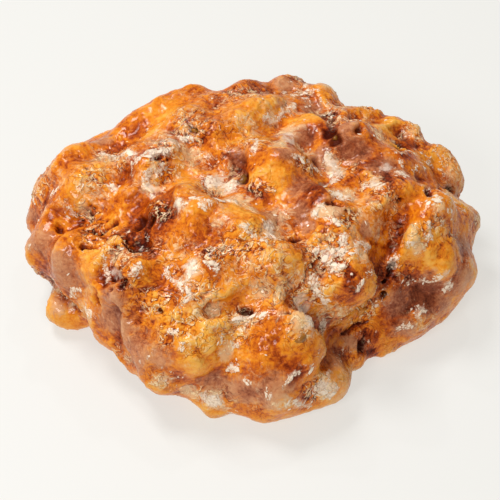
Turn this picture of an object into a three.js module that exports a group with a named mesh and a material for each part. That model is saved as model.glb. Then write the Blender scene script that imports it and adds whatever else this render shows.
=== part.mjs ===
// Fruit fritter: one craggy piece of fried dough, in millimetres, +Z up.
// The origin is the middle of its underside, +X runs along its length and +Y to its back.
//
// The form is a field, negative inside the dough. Round lumps are melted together, kneaded
// out of true, pitted where fruit breaks the crust, creased where folds of dough meet, pebbled
// by the frying, and cut flat below.
// The skin is the first dough met coming in along rays towards a flat core, and its triangles
// are then evened out without leaving the place where the field is zero.

import * as THREE from 'three';
import { mergeVertices } from 'three/addons/utils/BufferGeometryUtils.js';

// Overall size
const LENGTH = 140;
const DEPTH = 118.5;
const HEIGHT = 51;

// How softly neighbouring shapes run into each other
const LUMP_MELT = 2.2;
const PIT_MELT = 2.6;
const BASE_ROUNDING = 2;

// Pebbles of two sizes that frying raises on the crust
const COARSE_PEBBLE = { spacing: 12, height: 1.2, shift: 0 };
const FINE_PEBBLE = { spacing: 6, height: 0.9, shift: 40 };
const PEBBLE_MIDDLE = 0.75;

// Kneading: a slow and a quick sideways drift of the dough
const SLOW_DRIFT = 1.6;
const QUICK_DRIFT = 0.8;

// The skin: its fineness, the rays that find it, and how its triangles are evened out
const SKIN_DETAIL = 22;
const CROWN_DENSITY = 0.3;
const WALL_SPREAD = 0.6;
const CORE_HEIGHT = 21;
const RAY_REACH = 46;
const SHORTEST_STEP = 0.5;
const HALVINGS = 12;
const EVENING_STEPS = 50;
const EVENING_RATE = 0.5;
const LONGEST_MOVE = 1.5;
const FLAT_WITHIN = 0.05;

// The mass of the dough: flattened balls, turned about the upright by degrees
const BODY = [
  { at: [0, -3, 19], radii: [55, 42, 23], turn: 0 },
  { at: [-12, -18, 20], radii: [38, 30, 21], turn: 15 },
  { at: [22, 8, 18], radii: [38, 34, 23], turn: -20 },
  { at: [-14, 14, 19], radii: [42, 30, 21], turn: 10 },
];

// Lumps round the rim, from the left end over the back to the right end
const BACK_RIM = [
  { at: [-57, 9, 22], r: 10.5 },
  { at: [-49, 19, 24.5], r: 11.5 },
  { at: [-39, 24, 26], r: 11 },
  { at: [-25, 32.5, 28], r: 11.5 },
  { at: [-14, 33, 30], r: 11.5 },
  { at: [-3, 35, 29.5], r: 12 },
  { at: [14.5, 44.5, 29], r: 8.3 },
  { at: [22, 37, 29], r: 9 },
  { at: [31, 30, 28], r: 10 },
  { at: [41, 25.5, 26], r: 9.5 },
  { at: [50, 24, 24], r: 7.5 },
  { at: [59, 20, 22], r: 8 },
];

// Lumps round the rim, from the right end along the front to the left end
const FRONT_RIM = [
  { at: [58.5, 0, 19], r: 11 },
  { at: [56.5, -9, 16], r: 12.6 },
  { at: [54, -17, 12], r: 11.5 },
  { at: [46, -25, 7.5], r: 9 },
  { at: [36, -29, 10], r: 8 },
  { at: [27, -36, 9], r: 6.5 },
  { at: [22.5, -49.5, 7.5], r: 8 },
  { at: [14, -53.5, 6], r: 5.8 },
  { at: [3, -50, 12.5], r: 13 },
  { at: [-10, -53, 6], r: 6.3 },
  { at: [-22, -44, 12.5], r: 13 },
  { at: [-32, -33, 13], r: 11.5 },
  { at: [-46, -20, 13.5], r: 10.5 },
  { at: [-55, -19, 6.5], r: 7.4 },
  { at: [-56, -6, 16], r: 12 },
];

// Lumps of the crown, in rows from the back to the front
const CROWN = [
  { at: [-2, 24, 36], r: 10.5 },
  { at: [-16, 19, 36], r: 9 },
  { at: [32, 13, 34], r: 11 },
  { at: [45, 13, 30], r: 9 },
  { at: [10, 5, 36], r: 11 },
  { at: [-26, 5, 37], r: 9.5 },
  { at: [-50, 3, 29], r: 12 },
  { at: [39, -7, 33], r: 9.5 },
  { at: [50, -12, 27], r: 12 },
  { at: [22, -15, 36], r: 9 },
  { at: [-18, -15, 38], r: 9 },
  { at: [-47, -17, 24], r: 10.5 },
  { at: [-3, -21, 38], r: 8 },
  { at: [9, -30, 34], r: 9.5 },
  { at: [26, -31, 31], r: 10.5 },
  { at: [-31, -31, 28], r: 11 },
  { at: [-12, -36, 29], r: 12.5 },
  { at: [-14, -46, 19], r: 10.5 },
  { at: [8, -46, 22], r: 12.5 },
];

// Round pits where a piece of fruit or a burst bubble opens the crust
const PITS = [
  { at: [25, 25, 40], r: 3.2 },
  { at: [48, 26, 35], r: 3.2 },
  { at: [34, 30, 38], r: 2.2 },
  { at: [-4, 2, 44], r: 4 },
  { at: [-32, -17, 40], r: 3.5 },
  { at: [-32, -24, 39], r: 3 },
  { at: [-38, -36, 36], r: 2.5 },
  { at: [10, -25, 42], r: 1.5 },
  { at: [38, -33, 25], r: 2.5 },
  { at: [29, -40, 19], r: 2.5 },
  { at: [-2, -44, 36], r: 3 },
];

// Creases where folds of dough meet: round furrows between two places, kneaded with the dough
const CREASES = [
  { from: [45, -14, 41], to: [40, -24, 36], r: 4.5 },
  { from: [40, -24, 36], to: [37, -36, 24], r: 5 },
  { from: [37, -35, 20], to: [28, -42, 18], r: 4.5 },
  { from: [27, -43, 18], to: [23, -52, 18], r: 3.5 },
  { from: [-59, -10, 33], to: [-47, -14, 36], r: 3.5 },
  { from: [-47, -14, 36], to: [-40, -10, 39], r: 3.5 },
  { from: [-10, -47, 34], to: [4, -43, 37], r: 3 },
  { from: [18, 13, 43], to: [20, 5, 45], r: 3.5 },
  { from: [20, 5, 45], to: [26, -10, 44], r: 3.5 },
  { from: [-16, 10, 46], to: [-8, 1, 45], r: 4.5 },
  { from: [-39, -28, 40], to: [-43, -36, 34], r: 3 },
  { from: [-40, -43, 26], to: [-37, -48, 13], r: 4 },
  { from: [13, -43, 37], to: [23, -45, 25], r: 4 },
  { from: [-34, -12, 41], to: [-33, -24, 41], r: 4.5 },
  { from: [53, 4, 39], to: [61, 11, 33], r: 3 },
  { from: [14, 41, 40], to: [24, 30, 41], r: 3.5 },
  { from: [24, 30, 41], to: [28, 21, 45], r: 3.5 },
  { from: [-63, -17, 13], to: [-53, -27, 12], r: 2.5 },
  { from: [-25, -10, 45], to: [-24, -19, 45], r: 3 },
];

// Lumps of the foot behind, spaced along an oval from the left end to the right end
const BACK_FOOT = { count: 9, from: 165, to: 15, alongX: 52, alongY: 40, z: 14, r: 12, unevenness: 1.5 };

function backFoot() {
  const lumps = [];
  for (let i = 0; i < BACK_FOOT.count; i++) {
    const bearing = THREE.MathUtils.lerp(BACK_FOOT.from, BACK_FOOT.to, i / (BACK_FOOT.count - 1));
    const angle = THREE.MathUtils.degToRad(bearing);
    const swell = BACK_FOOT.unevenness * Math.sin(2.4 * i);
    lumps.push({
      at: [BACK_FOOT.alongX * Math.cos(angle), BACK_FOOT.alongY * Math.sin(angle), BACK_FOOT.z + swell],
      r: BACK_FOOT.r - swell,
    });
  }
  return lumps;
}

// Moves a place sideways by a few slow and quick waves, so that round lumps come out uneven.
function knead({ x, y, z }) {
  const slow = (phase) => SLOW_DRIFT * Math.sin(phase);
  const quick = (phase) => QUICK_DRIFT * Math.sin(phase);
  return new THREE.Vector3(
    x + slow(y / 6.1 + z / 9 + 0.7) + quick(y / 2.9 - x / 4.1 + 2),
    y + slow(x / 6.7 - z / 7 + 1.9) + quick(x / 3.1 + z / 3.7 + 0.4),
    z + slow(x / 7.3 + y / 6.3 + 4.1) + quick(x / 3.3 - y / 2.7 + 1.1),
  );
}

// Near enough the distance from a kneaded place to a flattened ball.
function bodyDistance({ at, radii, turn }) {
  const cos = Math.cos(THREE.MathUtils.degToRad(turn));
  const sin = Math.sin(THREE.MathUtils.degToRad(turn));
  return ({ x, y, z }) => {
    const along = ((x - at[0]) * cos + (y - at[1]) * sin) / radii[0];
    const across = ((y - at[1]) * cos - (x - at[0]) * sin) / radii[1];
    const up = (z - at[2]) / radii[2];
    const scaled = Math.sqrt(along ** 2 + across ** 2 + up ** 2);
    const slope = Math.sqrt((along / radii[0]) ** 2 + (across / radii[1]) ** 2 + (up / radii[2]) ** 2);
    return (scaled * (scaled - 1)) / Math.max(slope, 1e-9);
  };
}

// Distance to a round lump, whose centre is kneaded with the dough round it.
function lumpDistance({ at, r }) {
  const centre = knead(new THREE.Vector3(...at));
  return (place) => place.distanceTo(centre) - r;
}

// Distance to a furrow, whose ends are kneaded with the dough round it.
function creaseDistance({ from, to, r }) {
  const line = new THREE.Line3(knead(new THREE.Vector3(...from)), knead(new THREE.Vector3(...to)));
  const nearest = new THREE.Vector3();
  return (place) => line.closestPointToPoint(place, true, nearest).distanceTo(place) - r;
}

const DOUGH = [
  ...BODY.map(bodyDistance),
  ...[...BACK_RIM, ...FRONT_RIM, ...CROWN, ...backFoot()].map(lumpDistance),
];
const HOLLOWS = [...PITS.map(lumpDistance), ...CREASES.map(creaseDistance)];

// The larger of two distances, rounded off where they cross.
function softMax(a, b, rounding) {
  const share = THREE.MathUtils.clamp(0.5 - (0.5 * (a - b)) / rounding, 0, 1);
  return THREE.MathUtils.lerp(a, b, share) + rounding * share * (1 - share);
}

// A repeatable point inside a cell of the pebble lattice.
function pebbleCentre(i, j, k) {
  const seed = i * 127.1 + j * 311.7 + k * 74.7;
  const draw = (n) => Math.abs(Math.sin(n) * 43758.5453) % 1;
  return new THREE.Vector3(i + draw(seed), j + draw(seed * 1.31 + 17), k + draw(seed * 1.73 + 41));
}

// Height of the round cap over the nearest of the pebbles, scattered one to a cell.
function pebbling({ spacing, height, shift }) {
  const centres = new Map();
  const centreOf = (i, j, k) => {
    const key = (i * 1000 + j) * 1000 + k;
    if (!centres.has(key)) centres.set(key, pebbleCentre(i, j, k));
    return centres.get(key);
  };
  const scaled = new THREE.Vector3();
  return (place) => {
    scaled.copy(place).addScalar(shift).divideScalar(spacing);
    const [x, y, z] = scaled.toArray().map(Math.floor);
    let nearest = Infinity;
    for (let i = x - 1; i <= x + 1; i++) {
      for (let j = y - 1; j <= y + 1; j++) {
        for (let k = z - 1; k <= z + 1; k++) {
          nearest = Math.min(nearest, centreOf(i, j, k).distanceToSquared(scaled));
        }
      }
    }
    return height * (Math.sqrt(Math.max(0, 1 - nearest)) - PEBBLE_MIDDLE);
  };
}

const coarsePebbles = pebbling(COARSE_PEBBLE);
const finePebbles = pebbling(FINE_PEBBLE);

// The dough's field at a place: negative inside, near enough the distance outside.
function doughField(place) {
  const kneaded = knead(place);
  let nearness = 0;
  for (const distance of DOUGH) nearness += Math.exp(-distance(kneaded) / LUMP_MELT);
  let field = -LUMP_MELT * Math.log(Math.max(nearness, 1e-300));
  for (const distance of HOLLOWS) field = softMax(field, -distance(kneaded), PIT_MELT);
  field -= coarsePebbles(kneaded) + finePebbles(kneaded);
  return softMax(field, -place.z, BASE_ROUNDING);
}

// The place a given way along the ray that leaves the flat core in a direction.
function alongRay(direction, way) {
  return new THREE.Vector3(
    ((LENGTH - HEIGHT) / 2 + way) * direction.x,
    ((DEPTH - HEIGHT) / 2 + way) * direction.y,
    CORE_HEIGHT + way * direction.z,
  );
}

// The skin in a direction: the first dough met coming in along the ray.
function skinPoint(direction) {
  let outside = RAY_REACH;
  let inside = RAY_REACH;
  let field = doughField(alongRay(direction, inside));
  while (inside > 0 && field > 0) {
    outside = inside;
    inside -= Math.max(SHORTEST_STEP, field / 2);
    field = doughField(alongRay(direction, inside));
  }
  for (let n = 0; n < HALVINGS; n++) {
    const middle = (outside + inside) / 2;
    if (doughField(alongRay(direction, middle)) > 0) outside = middle;
    else inside = middle;
  }
  return alongRay(direction, inside);
}

// A ball of near-even triangles, crowded towards the crown and drawn in to the dough.
function makeSkin() {
  const ball = new THREE.IcosahedronGeometry(1, SKIN_DETAIL);
  ball.deleteAttribute('normal');
  ball.deleteAttribute('uv');
  const skin = mergeVertices(ball);
  const points = skin.getAttribute('position');
  const direction = new THREE.Vector3();
  for (let i = 0; i < points.count; i++) {
    direction.fromBufferAttribute(points, i).normalize();
    const lifted = direction.z + CROWN_DENSITY * (1 - direction.z ** 2);
    direction.set(direction.x * WALL_SPREAD, direction.y * WALL_SPREAD, lifted).normalize();
    points.setXYZ(i, ...skinPoint(direction));
  }
  return skin;
}

// For each vertex, the mean place of the vertices that its triangles join it to.
function neighbourMeans(skin) {
  const points = skin.getAttribute('position');
  const index = skin.getIndex();
  const sums = Array.from({ length: points.count }, () => new THREE.Vector3());
  const counts = new Array(points.count).fill(0);
  const corner = new THREE.Vector3();
  for (let i = 0; i < index.count; i++) {
    const first = i - (i % 3);
    corner.fromBufferAttribute(points, index.getX(i));
    for (const other of [first + ((i + 1) % 3), first + ((i + 2) % 3)]) {
      sums[index.getX(other)].add(corner);
      counts[index.getX(other)] += 1;
    }
  }
  return sums.map((sum, i) => sum.divideScalar(counts[i]));
}

// The field's slope at a place, from small steps along each axis.
function fieldSlope(place, field) {
  const step = 0.2;
  const { x, y, z } = place;
  return new THREE.Vector3(
    doughField(new THREE.Vector3(x + step, y, z)) - field,
    doughField(new THREE.Vector3(x, y + step, z)) - field,
    doughField(new THREE.Vector3(x, y, z + step)) - field,
  ).divideScalar(step);
}

// Each step slides every vertex over the dough towards the middle of its neighbours, and then
// moves it back down the field's slope to where the field is zero.
function evenOut(skin) {
  const points = skin.getAttribute('position');
  const place = new THREE.Vector3();
  for (let step = 0; step < EVENING_STEPS; step++) {
    const means = neighbourMeans(skin);
    for (let i = 0; i < points.count; i++) {
      place.fromBufferAttribute(points, i);
      place.addScaledVector(means[i].sub(place).clampLength(0, LONGEST_MOVE), EVENING_RATE);
      const field = doughField(place);
      const slope = fieldSlope(place, field);
      const move = slope.multiplyScalar(-field / Math.max(slope.lengthSq(), 0.25));
      place.add(move.clampLength(0, LONGEST_MOVE));
      points.setXYZ(i, place.x, place.y, place.z);
    }
  }
}

// Brings the skin to the overall size, with its flat underside on the ground.
function fitToSize(skin) {
  skin.computeBoundingBox();
  const size = skin.boundingBox.getSize(new THREE.Vector3());
  const middle = skin.boundingBox.getCenter(new THREE.Vector3());
  skin.translate(-middle.x, -middle.y, -skin.boundingBox.min.z);
  skin.scale(LENGTH / size.x, DEPTH / size.y, HEIGHT / size.z);
  const points = skin.getAttribute('position');
  for (let i = 0; i < points.count; i++) {
    if (points.getZ(i) < FLAT_WITHIN) points.setZ(i, 0);
  }
  skin.computeVertexNormals();
}

const skin = makeSkin();
evenOut(skin);
fitToSize(skin);

const crust = new THREE.MeshStandardMaterial({ color: 0xb9661f, roughness: 0.4, metalness: 0 });
const fritter = new THREE.Mesh(skin, crust);
fritter.name = 'fritter';

const part = new THREE.Group();
part.add(fritter);

export default part;
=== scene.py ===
import math

import bpy
import numpy as np
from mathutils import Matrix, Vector


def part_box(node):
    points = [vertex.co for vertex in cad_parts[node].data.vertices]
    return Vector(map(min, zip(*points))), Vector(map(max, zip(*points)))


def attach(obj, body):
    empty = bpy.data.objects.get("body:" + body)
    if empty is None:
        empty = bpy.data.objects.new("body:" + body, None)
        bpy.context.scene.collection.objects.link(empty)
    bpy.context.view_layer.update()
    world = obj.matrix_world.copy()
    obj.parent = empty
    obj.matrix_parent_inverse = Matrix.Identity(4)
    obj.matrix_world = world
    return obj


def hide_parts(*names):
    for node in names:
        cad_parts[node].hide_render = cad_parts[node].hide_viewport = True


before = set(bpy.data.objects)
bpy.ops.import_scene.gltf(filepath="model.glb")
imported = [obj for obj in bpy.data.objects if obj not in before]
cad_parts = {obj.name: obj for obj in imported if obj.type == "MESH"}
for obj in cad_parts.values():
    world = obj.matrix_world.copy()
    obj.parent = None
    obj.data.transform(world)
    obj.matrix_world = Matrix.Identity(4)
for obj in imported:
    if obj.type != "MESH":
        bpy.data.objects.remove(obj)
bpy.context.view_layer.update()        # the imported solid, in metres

mm = 0.001


# the camera: how steeply it looks down, how far off it stands and what it aims at
view = {
    "pixels": 500,
    "elevation": 47.0,
    "distance": 0.428,
    "aim": (-0.0009, 0.0026, 0.012),
    "lens": 100.0,
    "sensor": 36.0,
    "close": 3.0,                # pixels from a mark that count as close to it
}

tilt = math.radians(view["elevation"])
towardsCamera = np.array([0, -math.cos(tilt), math.sin(tilt)])
upInView = np.array([0, math.sin(tilt), math.cos(tilt)])
cameraPlace = np.array(view["aim"]) + view["distance"] * towardsCamera


# the camera stands at its aim + distance x the direction towards it, and looks back along that
def makeCamera():
    data = bpy.data.cameras.new("camera")
    data.lens = view["lens"]
    data.sensor_width = view["sensor"]
    camera = bpy.data.objects.new("camera", data)
    bpy.context.scene.collection.objects.link(camera)
    camera.location = cameraPlace.tolist()
    camera.rotation_euler = (math.pi / 2 - tilt, 0, 0)
    bpy.context.scene.camera = camera


# pixel = middle of the picture + focal length in pixels x sideways (or upwards) over depth
def toPixels(points):
    offset = points - cameraPlace
    depth = -offset @ towardsCamera
    focal = view["lens"] / view["sensor"] * view["pixels"]
    across = view["pixels"] / 2 + focal * offset[:, 0] / depth
    down = view["pixels"] / 2 - focal * (offset @ upInView) / depth
    return across, down, depth


# the dough, in millimetres: rows of x, y, z and radius, as the solid has them
dough = {
    "melt": 2.2,
    "pitMelt": 2.6,
    "baseRounding": 2.0,
    "slowDrift": 1.6,
    "quickDrift": 0.8,
    "pebbles": [(12.0, 1.2, 0.0), (6.0, 0.9, 40.0)],       # spacing, height, shift
    "pebbleMiddle": 0.75,
    "body": [                                              # x, y, z, three radii, turn in degrees
        (0, -3, 19, 55, 42, 23, 0), (-12, -18, 20, 38, 30, 21, 15),
        (22, 8, 18, 38, 34, 23, -20), (-14, 14, 19, 42, 30, 21, 10),
    ],
    "backRim": [
        (-57, 9, 22, 10.5), (-49, 19, 24.5, 11.5), (-39, 24, 26, 11), (-25, 32.5, 28, 11.5),
        (-14, 33, 30, 11.5), (-3, 35, 29.5, 12), (14.5, 44.5, 29, 8.3), (22, 37, 29, 9),
        (31, 30, 28, 10), (41, 25.5, 26, 9.5), (50, 24, 24, 7.5), (59, 20, 22, 8),
    ],
    "frontRim": [
        (58.5, 0, 19, 11), (56.5, -9, 16, 12.6), (54, -17, 12, 11.5), (46, -25, 7.5, 9),
        (36, -29, 10, 8), (27, -36, 9, 6.5), (22.5, -49.5, 7.5, 8), (14, -53.5, 6, 5.8), (3, -50, 12.5, 13),
        (-10, -53, 6, 6.3), (-22, -44, 12.5, 13), (-32, -33, 13, 11.5), (-46, -20, 13.5, 10.5),
        (-55, -19, 6.5, 7.4), (-56, -6, 16, 12),
    ],
    "crown": [
        (-2, 24, 36, 10.5), (-16, 19, 36, 9), (32, 13, 34, 11), (45, 13, 30, 9),
        (10, 5, 36, 11), (-26, 5, 37, 9.5), (-50, 3, 29, 12), (39, -7, 33, 9.5),
        (50, -12, 27, 12), (22, -15, 36, 9), (-18, -15, 38, 9), (-47, -17, 24, 10.5),
        (-3, -21, 38, 8), (9, -30, 34, 9.5), (26, -31, 31, 10.5), (-31, -31, 28, 11),
        (-12, -36, 29, 12.5), (-14, -46, 19, 10.5), (8, -46, 22, 12.5),
    ],
    "pits": [
        (25, 25, 40, 3.2), (48, 26, 35, 3.2), (34, 30, 38, 2.2), (-4, 2, 44, 4),
        (-32, -17, 40, 3.5), (-32, -24, 39, 3), (-38, -36, 36, 2.5), (10, -25, 42, 1.5),
        (38, -33, 25, 2.5), (29, -40, 19, 2.5), (-2, -44, 36, 3),
    ],
    "creases": [                                           # from, to and radius
        ((45, -14, 41), (40, -24, 36), 4.5), ((40, -24, 36), (37, -36, 24), 5),
        ((37, -35, 20), (28, -42, 18), 4.5), ((27, -43, 18), (23, -52, 18), 3.5),
        ((-59, -10, 33), (-47, -14, 36), 3.5), ((-47, -14, 36), (-40, -10, 39), 3.5),
        ((-10, -47, 34), (4, -43, 37), 3), ((18, 13, 43), (20, 5, 45), 3.5),
        ((20, 5, 45), (26, -10, 44), 3.5), ((-16, 10, 46), (-8, 1, 45), 4.5),
        ((-39, -28, 40), (-43, -36, 34), 3), ((-40, -43, 26), (-37, -48, 13), 4),
        ((13, -43, 37), (23, -45, 25), 4), ((-34, -12, 41), (-33, -24, 41), 4.5),
        ((53, 4, 39), (61, 11, 33), 3), ((14, 41, 40), (24, 30, 41), 3.5),
        ((24, 30, 41), (28, 21, 45), 3.5), ((-63, -17, 13), (-53, -27, 12), 2.5),
        ((-25, -10, 45), (-24, -19, 45), 3),
    ],
    "backFoot": {"count": 9, "from": 165, "to": 15, "alongX": 52, "alongY": 40,
                 "z": 14, "radius": 12, "unevenness": 1.5},
}

# the skin's grid: squares along a face of the starting cube, and how it is laid on the dough
skin = {
    "coarse": 42,
    "times": 3,
    "size": (140.0, 118.5, 51.0),
    "coreHeight": 21.0,
    "crownDensity": 0.3,
    "wallSpread": 0.6,
    "reach": 46.0,
    "shortestStep": 0.5,
    "searchSteps": 60,
    "halvings": 10,
    "eveningSteps": 24,
    "eveningShare": 0.5,
    "closingSteps": 3,
    "longestMove": 1.5,
    "probe": 0.2,                # how far off the field's slope is felt
    "gentlest": 0.25,            # least square of the slope, so that no move runs away
    "flatBelow": 0.05,           # what is lower than this lies flat
}


# place + slow waves + quick waves of the other two coordinates
def knead(p):
    x, y, z = p.T
    slow, quick = dough["slowDrift"], dough["quickDrift"]
    return np.stack([
        x + slow * np.sin(y / 6.1 + z / 9 + 0.7) + quick * np.sin(y / 2.9 - x / 4.1 + 2),
        y + slow * np.sin(x / 6.7 - z / 7 + 1.9) + quick * np.sin(x / 3.1 + z / 3.7 + 0.4),
        z + slow * np.sin(x / 7.3 + y / 6.3 + 4.1) + quick * np.sin(x / 3.3 - y / 2.7 + 1.1),
    ], axis=1)


# lumps of the foot behind: evenly spaced bearings on an oval, with a slow swell
def backFoot():
    row = dough["backFoot"]
    i = np.arange(row["count"])
    bearing = np.radians(row["from"] + (row["to"] - row["from"]) * i / (row["count"] - 1))
    swell = row["unevenness"] * np.sin(2.4 * i)
    return np.stack([row["alongX"] * np.cos(bearing), row["alongY"] * np.sin(bearing),
                     row["z"] + swell, row["radius"] - swell], axis=1)


lumps = [np.array(dough[part], float) for part in ("backRim", "frontRim", "crown")]
lumps = np.concatenate(lumps + [backFoot()])
lumps[:, :3] = knead(lumps[:, :3])
pits = np.array(dough["pits"], float)
pits[:, :3] = knead(pits[:, :3])
creaseFrom, creaseTo = (knead(np.array([row[end] for row in dough["creases"]], float)) for end in (0, 1))

# a repeatable point in every cell of a lattice
latticeReach = 34
cell = np.stack(np.meshgrid(*[np.arange(-latticeReach, latticeReach)] * 3, indexing="ij"), axis=-1)
cellSeed = cell @ np.array([127.1, 311.7, 74.7])


# a repeatable number from 0 to 1: what is left of a large multiple of a sine past its whole part
def draw(number):
    return np.abs(np.sin(number) * 43758.5453) % 1.0


latticePoints = cell + np.stack([draw(cellSeed), draw(cellSeed * 1.31 + 17), draw(cellSeed * 1.73 + 41)],
                                axis=-1)
latticeNumber = draw(cellSeed * 2.17 + 5)
nearby = np.stack(np.meshgrid(*[[-1, 0, 1]] * 3, indexing="ij"), axis=-1).reshape(-1, 3)


# distance, in cells, to the nearest lattice point
def nearestPebble(q):
    home = np.floor(q).astype(int)
    best = np.full(len(q), np.inf)
    for step in nearby:
        i, j, k = (home + step + latticeReach).T
        best = np.minimum(best, ((latticePoints[i, j, k] - q) ** 2).sum(axis=1))
    return np.sqrt(best)


# the round cap over the nearest lattice point: height x (root of 1 - distance squared - middle)
def pebbling(q, spacing, height, shift):
    distance = nearestPebble((q + shift) / spacing)
    return height * (np.sqrt(np.clip(1 - distance ** 2, 0, 1)) - dough["pebbleMiddle"])


# flakes of crust: the number from 0 to 1 that belongs to the nearest lattice point
def flaking(q, spacing, shift):
    q = (q + shift) / spacing
    home = np.floor(q).astype(int)
    best = np.full(len(q), np.inf)
    number = np.zeros(len(q))
    for step in nearby:
        i, j, k = (home + step + latticeReach).T
        gap = ((latticePoints[i, j, k] - q) ** 2).sum(axis=1)
        number = np.where(gap < best, latticeNumber[i, j, k], number)
        best = np.minimum(best, gap)
    return number


# the larger of two distances, rounded where they cross
def softMax(a, b, rounding):
    share = np.clip(0.5 - 0.5 * (a - b) / rounding, 0, 1)
    return a + (b - a) * share + rounding * share * (1 - share)


# the field: melted distance to all lumps, less the pebbles, with pits, creases and the underside cut off
def doughField(p):
    q = knead(p)
    nearness = np.zeros(len(q))
    for x, y, z, rx, ry, rz, turn in dough["body"]:
        cosine, sine = math.cos(math.radians(turn)), math.sin(math.radians(turn))
        along = ((q[:, 0] - x) * cosine + (q[:, 1] - y) * sine) / rx
        across = ((q[:, 1] - y) * cosine - (q[:, 0] - x) * sine) / ry
        up = (q[:, 2] - z) / rz
        scaled = np.sqrt(along ** 2 + across ** 2 + up ** 2)
        slope = np.sqrt((along / rx) ** 2 + (across / ry) ** 2 + (up / rz) ** 2)
        nearness += np.exp(-scaled * (scaled - 1) / np.maximum(slope, 1e-9) / dough["melt"])
    for x, y, z, radius in lumps:
        gap = np.sqrt((q[:, 0] - x) ** 2 + (q[:, 1] - y) ** 2 + (q[:, 2] - z) ** 2) - radius
        nearness += np.exp(-gap / dough["melt"])
    field = -dough["melt"] * np.log(np.maximum(nearness, 1e-300))
    for x, y, z, radius in pits:
        gap = np.sqrt((q[:, 0] - x) ** 2 + (q[:, 1] - y) ** 2 + (q[:, 2] - z) ** 2) - radius
        field = softMax(field, -gap, dough["pitMelt"])
    for a, b, row in zip(creaseFrom, creaseTo, dough["creases"]):
        way = np.clip((q - a) @ (b - a) / ((b - a) @ (b - a)), 0, 1)
        gap = np.sqrt(((q - a - way[:, None] * (b - a)) ** 2).sum(axis=1)) - row[2]
        field = softMax(field, -gap, dough["pitMelt"])
    for row in dough["pebbles"]:
        field -= pebbling(q, *row)
    return softMax(field, -p[:, 2], dough["baseRounding"])


# six faces of a cube, each a grid of two angles, blown up to a ball; corners and edges are shared
def cubeBall(n):
    angle = np.linspace(-math.pi / 4, math.pi / 4, n + 1)
    v, u = np.meshgrid(np.tan(angle), np.tan(angle), indexing="ij")
    one = np.ones_like(u)
    faces = [(one, u, v), (-one, -u, v), (-u, one, v), (u, -one, v), (u, v, one), (u, -v, -one)]
    points = np.stack([np.stack(face, axis=-1) for face in faces])
    points /= np.linalg.norm(points, axis=-1, keepdims=True)
    key = np.round(points.reshape(-1, 3) * 1e5).astype(int)
    _, first, shared = np.unique(key, axis=0, return_index=True, return_inverse=True)
    grid = shared.reshape(6, n + 1, n + 1)
    quads = np.stack([grid[:, :-1, :-1], grid[:, :-1, 1:], grid[:, 1:, 1:], grid[:, 1:, :-1]], axis=-1)
    return points.reshape(-1, 3)[first], quads.reshape(-1, 4), grid


# place on a ray: flat core's half size + way, along the direction
def alongRay(direction, way):
    length, depth, height = skin["size"]
    return np.stack([((length - height) / 2 + way) * direction[:, 0],
                     ((depth - height) / 2 + way) * direction[:, 1],
                     skin["coreHeight"] + way * direction[:, 2]], axis=1)


# the first dough met coming in along each ray, then halved down to the skin
def skinAlongRays(direction):
    outside = np.full(len(direction), skin["reach"])
    inside = outside.copy()
    field = doughField(alongRay(direction, inside))
    for step in range(skin["searchSteps"]):
        going = (field > 0) & (inside > 0)
        if not going.any():
            break
        outside[going] = inside[going]
        inside[going] -= np.maximum(skin["shortestStep"], field[going] / 2)
        field[going] = doughField(alongRay(direction[going], inside[going]))
    for halving in range(skin["halvings"]):
        middle = (outside + inside) / 2
        out = doughField(alongRay(direction, middle)) > 0
        outside = np.where(out, middle, outside)
        inside = np.where(out, inside, middle)
    return alongRay(direction, inside)


# mean place of the four neighbours along a quad's edges
def neighbourMeans(points, quads):
    a = np.concatenate([quads[:, i] for i in range(4)] * 2)
    after = [quads[:, (i + 1) % 4] for i in range(4)]
    before = [quads[:, (i - 1) % 4] for i in range(4)]
    b = np.concatenate(after + before)
    count = np.bincount(a, minlength=len(points))
    return np.stack([np.bincount(a, points[b, axis], len(points)) / count for axis in range(3)], axis=1)


# moves a place down the field's slope to where the field is zero, by no more than the longest move
def ontoDough(points):
    step = skin["probe"]
    field = doughField(points)
    slope = np.stack([doughField(points + step * axis) - field for axis in np.eye(3)], axis=1) / step
    move = -slope * (field / np.maximum((slope ** 2).sum(axis=1), skin["gentlest"]))[:, None]
    length = np.linalg.norm(move, axis=1, keepdims=True)
    return points + move * np.minimum(1, skin["longestMove"] / np.maximum(length, 1e-9))


# each face's grid of places, with more squares: both ways, a straight mix of the two nearest rows
def finer(grid, times):
    n = grid.shape[1] - 1
    at = np.arange(n * times + 1) / times
    low = np.minimum(at.astype(int), n - 1)
    part = (at - low)[:, None]
    down = part[:, None]
    rows = grid[:, low] * (1 - down) + grid[:, low + 1] * down
    return rows[:, :, low] * (1 - part) + rows[:, :, low + 1] * part


# normal of a vertex = sum of its quads' crossed diagonals, made one long
def vertexNormals(points, quads):
    cross = np.cross(points[quads[:, 2]] - points[quads[:, 0]], points[quads[:, 3]] - points[quads[:, 1]])
    total = np.stack([sum(np.bincount(quads[:, i], cross[:, axis], len(points)) for i in range(4))
                      for axis in range(3)], axis=1)
    return total / np.maximum(np.linalg.norm(total, axis=1, keepdims=True), 1e-12)


# the skin: rays first, then evened out on the coarse grid, then laid down again on the fine one
def makeSkin():
    direction, quads, grid = cubeBall(skin["coarse"])
    lifted = direction[:, 2] + skin["crownDensity"] * (1 - direction[:, 2] ** 2)
    direction = np.column_stack([direction[:, :2] * skin["wallSpread"], lifted])
    direction /= np.linalg.norm(direction, axis=1, keepdims=True)
    points = skinAlongRays(direction)
    for step in range(skin["eveningSteps"]):
        points = ontoDough(points + skin["eveningShare"] * (neighbourMeans(points, quads) - points))
    fineGrid = finer(points[grid], skin["times"]).reshape(-1, 3)
    _, quads, grid = cubeBall(skin["coarse"] * skin["times"])
    points = np.zeros((grid.max() + 1, 3))
    points[grid.reshape(-1)] = fineGrid
    for step in range(skin["closingSteps"]):
        points = ontoDough(points)
    return points, quads


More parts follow.
